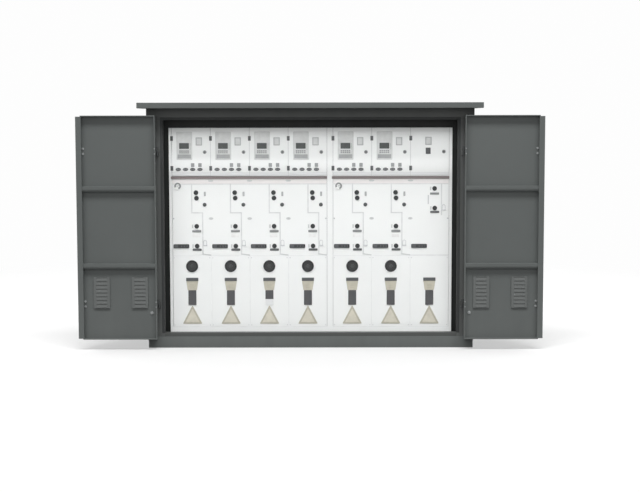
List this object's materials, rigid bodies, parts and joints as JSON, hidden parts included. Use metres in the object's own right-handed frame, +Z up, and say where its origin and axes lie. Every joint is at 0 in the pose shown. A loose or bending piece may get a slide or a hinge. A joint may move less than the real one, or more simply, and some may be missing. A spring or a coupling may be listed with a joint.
{
  "type": "outdoor switching station",
  "caption": "Steel outdoor housing with two blocks of medium-voltage switchgear and folded leaf doors standing wide open.",
  "frame": {"origin": "on the ground, in the middle of the whole part's footprint with the doors folded open", "axes": "+X along the front to the right, -Y out of the operating side, +Z up"},
  "size_m": [3.645, 1.29, 1.939],
  "materials": {
    "housing_paint": "semi-matt grey powder coat",
    "frame_paint": "matt dark grey powder coat",
    "inner_steel": "matt dark grey",
    "gear_paint": "smooth near-white powder coat",
    "trim_paint": "matt brown-red",
    "relay_plastic": "matt light grey",
    "dark_plastic": "matt near-black",
    "label_film": "matt beige film",
    "display_glass": "glossy dark",
    "seal_rubber": "matt black",
    "hinge_steel": "painted steel",
    "lock_steel": "zinc-plated steel",
    "fastener_steel": "zinc-plated screws"
  },
  "bodies": {
    "station": {"base_frame": "housing_paint", "floor_plate": "inner_steel", "left_wall": "housing_paint", "right_wall": "housing_paint", "back_wall": "housing_paint", "roof": "housing_paint", "header": "frame_paint", "sill": "frame_paint", "left_post": "frame_paint", "right_post": "frame_paint", "left_switchgear": "gear_paint", "right_switchgear": "gear_paint", "left_instrument_doors": "gear_paint", "right_instrument_doors": "gear_paint", "left_operating_panel": "gear_paint", "right_operating_panel": "gear_paint", "left_cable_covers": "gear_paint", "right_cable_covers": "gear_paint", "trim_strips": "trim_paint", "protection_relays": "relay_plastic", "ready_indicators": "relay_plastic", "operating_sockets": "dark_plastic", "voltage_indicators": "dark_plastic", "cable_windows": "dark_plastic", "cover_plates": "dark_plastic", "left_post_hinges": "hinge_steel", "right_post_hinges": "hinge_steel"},
    "left_door": {"left_outer_leaf": "housing_paint", "left_inner_leaf": "housing_paint", "left_stiffeners": "housing_paint", "left_louvres": "housing_paint", "left_rebate_strip": "housing_paint", "left_door_hinges": "hinge_steel", "left_leaf_hinges": "hinge_steel", "left_lock": "lock_steel"},
    "right_door": {"right_outer_leaf": "housing_paint", "right_inner_leaf": "housing_paint", "right_stiffeners": "housing_paint", "right_louvres": "housing_paint", "right_rebate_strip": "housing_paint", "right_door_hinges": "hinge_steel", "right_leaf_hinges": "hinge_steel", "right_lock": "lock_steel"}
  },
  "joints": [
    {"name": "left_door_hinge", "type": "hinge", "parent": "station", "child": "left_door", "pos_m": [-1.195, -0.582, 0.9625], "axis": [0, 0, 1], "range_deg": [0, 180]},
    {"name": "right_door_hinge", "type": "hinge", "parent": "station", "child": "right_door", "pos_m": [1.195, -0.582, 0.9625], "axis": [0, 0, -1], "range_deg": [0, 180]}
  ]
}
